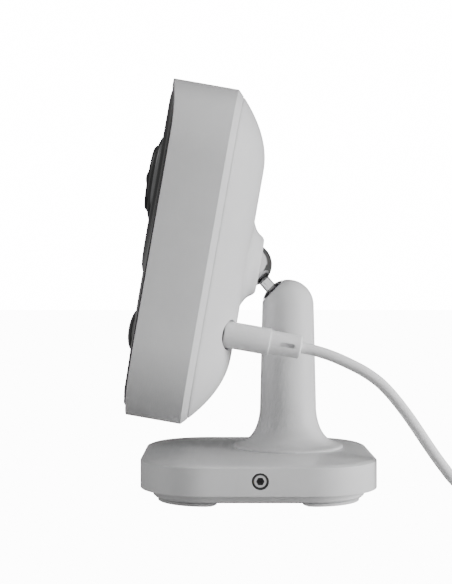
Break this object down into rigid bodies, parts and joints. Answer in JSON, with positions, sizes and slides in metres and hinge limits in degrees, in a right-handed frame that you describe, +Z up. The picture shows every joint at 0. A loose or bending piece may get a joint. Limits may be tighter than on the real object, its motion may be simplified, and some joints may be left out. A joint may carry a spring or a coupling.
{
  "type": "baby monitor camera",
  "caption": "Baby monitor camera: rounded white camera head with a glossy dark front, on a ball joint and a slim pillar over a square weighted base, with a power lead.",
  "frame": {"origin": "middle of the camera's own outline (without the lead), on the table under the rubber feet", "axes": "+Z up, -Y the way the lens looks, +X the side with the power inlet and the lock screw"},
  "size_m": [0.084, 0.1778, 0.1343],
  "materials": {
    "white_plastic": "fine satin moulding",
    "grey_plastic": "soft satin",
    "piano_black": "high gloss",
    "black_plastic": "satin",
    "black_rubber": "matt",
    "pale_rubber": "matt",
    "nylon": "natural nylon",
    "silver_trim": "bright plated",
    "polished_steel": "mirror polished",
    "steel": "bright zinc",
    "brass": "turned",
    "aluminium": "plain",
    "circuit_board": "solder resist",
    "dark_glass": "coated glass"
  },
  "bodies": {
    "stand": {"base_shell": "white_plastic", "base_weight": "steel", "bottom_plate": "white_plastic", "foot_front": "pale_rubber", "foot_rear": "pale_rubber", "pillar": "white_plastic", "ball_stud": "polished_steel", "stud_cap": "black_plastic", "pillar_screw_1": "steel", "pillar_screw_2": "steel", "lock_ring": "black_rubber", "lock_insert": "brass", "cord_lead": "grey_plastic", "cord_coil": "grey_plastic", "cord_tie": "black_plastic", "supply_plug_body": "grey_plastic", "supply_plug_shell": "silver_trim"},
    "swivel": {"inner_liner": "nylon"},
    "tilter": {"outer_liner": "nylon"},
    "head": {"front_housing": "white_plastic", "front_panel": "piano_black", "rear_cover": "white_plastic", "lens_collar": "silver_trim", "lens_hood": "black_plastic", "lens_glass": "dark_glass", "lens_barrel": "black_plastic", "image_sensor_board": "circuit_board", "infrared_board": "circuit_board", "infrared_led_left": "dark_glass", "infrared_led_right": "dark_glass", "light_sensor": "black_plastic", "motion_sensor_dome": "piano_black", "motion_sensor": "steel", "front_sensor_board": "circuit_board", "microphone": "aluminium", "speaker": "black_plastic", "main_board": "circuit_board", "wireless_module": "steel", "heat_sink": "aluminium", "antenna": "brass", "ball_cup": "nylon", "cup_spring": "steel", "cup_plate": "steel", "housing_screw_1": "steel", "housing_screw_2": "steel", "housing_screw_3": "steel", "housing_screw_4": "steel", "cup_screw_1": "steel", "cup_screw_2": "steel", "board_screw_1": "steel", "board_screw_2": "steel", "dc_jack": "black_plastic", "jack_ring": "black_plastic", "plug_barrel": "silver_trim", "plug_boot": "grey_plastic"},
    "lock": {"lock_screw": "steel"}
  },
  "joints": [
    {"name": "head_pan", "type": "hinge", "parent": "stand", "child": "swivel", "pos_m": [0, 0.0011, 0.0753], "axis": [0, 0, 1], "range_deg": [-20, 20], "deforming": ["cord_lead"]},
    {"name": "head_tilt", "type": "hinge", "parent": "swivel", "child": "tilter", "pos_m": [0, 0.0011, 0.0753], "axis": [1, 0, 0], "range_deg": [-25, 8], "deforming": ["cord_lead"]},
    {"name": "head_roll", "type": "hinge", "parent": "tilter", "child": "head", "pos_m": [0, 0.0011, 0.0753], "axis": [0, 0.9848, -0.1736], "range_deg": [-10, 10], "deforming": ["cord_lead"]},
    {"name": "lock_screw_turn", "type": "hinge", "parent": "stand", "child": "lock", "pos_m": [0.0375, 0.0034, 0.0087], "axis": [1, 0, 0], "range_deg": [-720, 0]}
  ]
}
